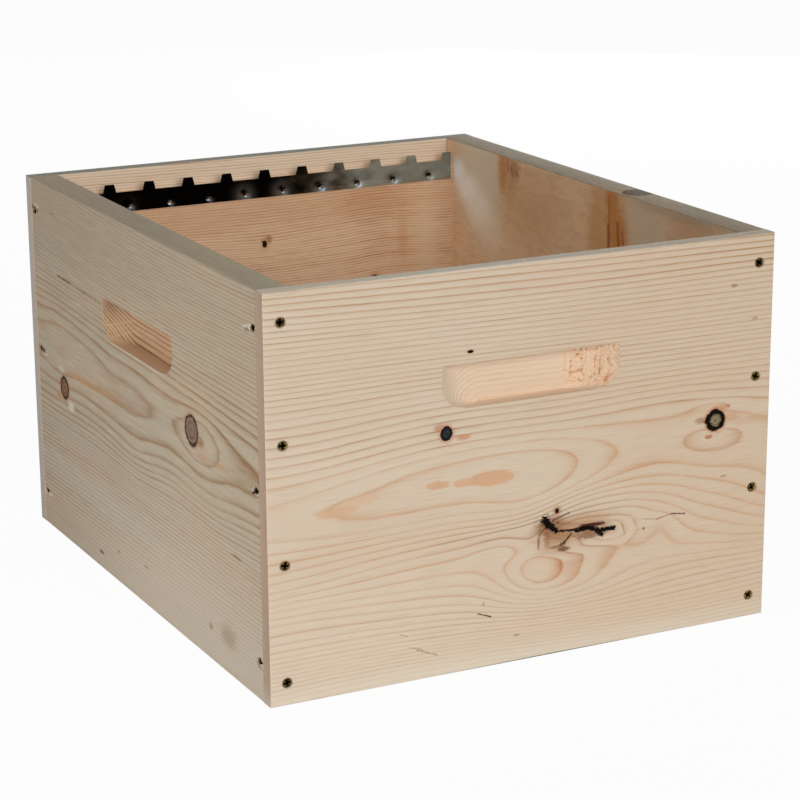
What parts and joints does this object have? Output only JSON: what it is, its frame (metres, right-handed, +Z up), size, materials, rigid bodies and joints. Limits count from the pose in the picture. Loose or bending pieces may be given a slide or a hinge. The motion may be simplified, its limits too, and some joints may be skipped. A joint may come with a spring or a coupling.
{
  "type": "hive body",
  "caption": "Open wooden hive body with lapped, screwed corners, milled hand-holds and toothed steel rails that carry and space hanging frames.",
  "frame": {"origin": "bottom centre of the box, on the plane it stands on", "axes": "+X to the right seen from the front, +Y from front to back along the hanging frames, +Z up"},
  "size_m": [0.43, 0.505, 0.311],
  "materials": {
    "spruce": "bare planed softwood, unpainted",
    "rail_steel": "bright cold-rolled sheet",
    "nail_steel": "bright drawn wire",
    "screw_zinc": "dull yellow zinc"
  },
  "bodies": {
    "root": {"front_board": "spruce", "back_board": "spruce", "left_board": "spruce", "right_board": "spruce", "front_rail": "rail_steel", "back_rail": "rail_steel", "front_rail_nails": "nail_steel", "back_rail_nails": "nail_steel", "front_board_left_screws": "screw_zinc", "front_board_right_screws": "screw_zinc", "back_board_left_screws": "screw_zinc", "back_board_right_screws": "screw_zinc", "left_board_front_screws": "screw_zinc", "left_board_back_screws": "screw_zinc", "right_board_front_screws": "screw_zinc", "right_board_back_screws": "screw_zinc"}
  },
  "joints": []
}
